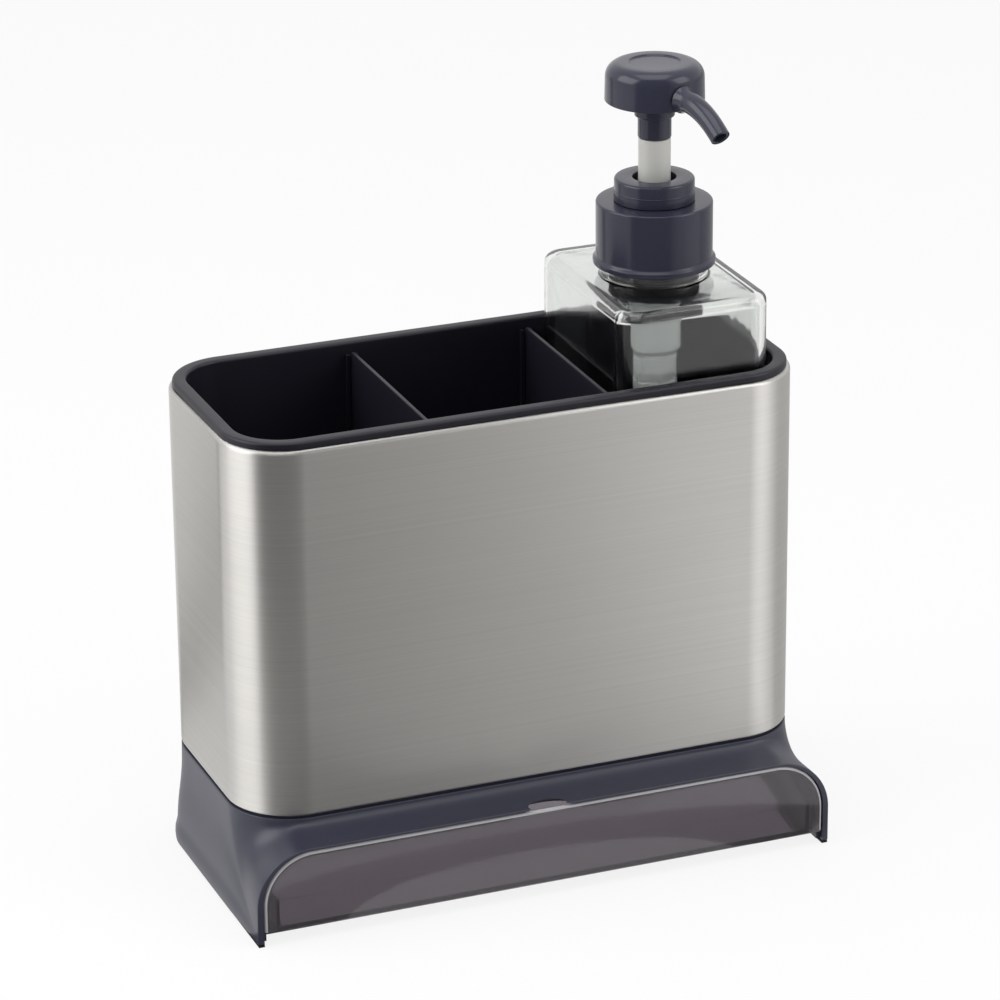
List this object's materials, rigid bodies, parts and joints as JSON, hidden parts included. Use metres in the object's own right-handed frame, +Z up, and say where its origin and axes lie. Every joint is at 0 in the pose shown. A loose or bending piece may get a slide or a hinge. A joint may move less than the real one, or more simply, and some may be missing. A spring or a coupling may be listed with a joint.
{
  "type": "sink organizer",
  "caption": "Steel-sleeved sink caddy with divided compartments, a lift-out soap pump bottle and a pull-out drip tray.",
  "frame": {"origin": "middle of the base's footprint, on the surface that the caddy stands on", "axes": "+Z up, -Y the front with the tray's panel, +X to the right, where the pump bottle stands"},
  "size_m": [0.2066, 0.1064, 0.2651],
  "materials": {
    "dark_plastic": "satin moulded plastic, dark blue-grey",
    "black_rubber": "matt",
    "smoky_plastic": "see-through smoke grey, glossy",
    "brushed_steel": "brushed lengthwise, satin",
    "black_plastic": "fine moulded texture",
    "clear_plastic": "clear, glossy, thick-walled",
    "white_plastic": "smooth natural white",
    "milky_plastic": "milky, slightly see-through",
    "spring_steel": "bright drawn wire"
  },
  "bodies": {
    "frame": {"base_shell": "dark_plastic", "anti_slip_strip": "black_rubber", "steel_sleeve": "brushed_steel"},
    "tray": {"drip_tray": "smoky_plastic"},
    "liner": {"inner_liner": "black_plastic"},
    "left_divider": {"divider_left": "black_plastic"},
    "right_divider": {"divider_right": "black_plastic"},
    "bottle": {"bottle": "clear_plastic"},
    "seal": {"gasket": "black_rubber"},
    "pump": {"pump_housing": "milky_plastic", "lock_collar": "dark_plastic", "dip_tube": "milky_plastic", "return_spring": "spring_steel"},
    "closure": {"closure": "dark_plastic"},
    "plunger": {"piston": "black_plastic"},
    "head": {"actuator_head": "dark_plastic", "spout": "dark_plastic", "stem": "white_plastic"},
    "ball": {"check_ball": "spring_steel"}
  },
  "joints": [
    {"name": "tray_slide", "type": "slide", "parent": "frame", "child": "tray", "axis": [0, -1, 0], "range_m": [0, 0.105]},
    {"name": "liner_lift", "type": "slide", "parent": "frame", "child": "liner", "axis": [0, 0, 1], "range_m": [0, 0.135]},
    {"name": "left_divider_lift", "type": "slide", "parent": "liner", "child": "left_divider", "axis": [0, 0, 1], "range_m": [0, 0.13]},
    {"name": "right_divider_lift", "type": "slide", "parent": "liner", "child": "right_divider", "axis": [0, 0, 1], "range_m": [0, 0.13]},
    {"name": "bottle_lift", "type": "slide", "parent": "liner", "child": "bottle", "axis": [0, 0, 1], "range_m": [0, 0.13]},
    {"name": "pump_lift_off", "type": "slide", "parent": "bottle", "child": "seal", "axis": [0, 0, 1], "range_m": [0, 0.17]},
    {"name": "thread_rise", "type": "slide", "parent": "seal", "child": "pump", "axis": [0, 0, 1], "range_m": [0, 0.0048]},
    {"name": "closure_turn", "type": "hinge", "parent": "pump", "child": "closure", "pos_m": [0.0624, 0.00505, 0.2], "axis": [0, 0, 1], "range_deg": [0, 540]},
    {"name": "pump_press", "type": "slide", "parent": "pump", "child": "plunger", "axis": [0, 0, -1], "range_m": [0, 0.013], "stiffness_N_per_m": 600, "springref_m": -0.006, "deforming": ["return_spring"]},
    {"name": "head_swivel", "type": "hinge", "parent": "plunger", "child": "head", "pos_m": [0.0624, 0.00505, 0.24], "axis": [0, 0, 1], "continuous": true},
    {"name": "ball_lift", "type": "slide", "parent": "pump", "child": "ball", "axis": [0, 0, 1], "range_m": [0, 0.0015]}
  ],
  "couplings": [
    {"joint": "thread_rise", "follows": "closure_turn", "m_per_rad": 0.000509}
  ]
}
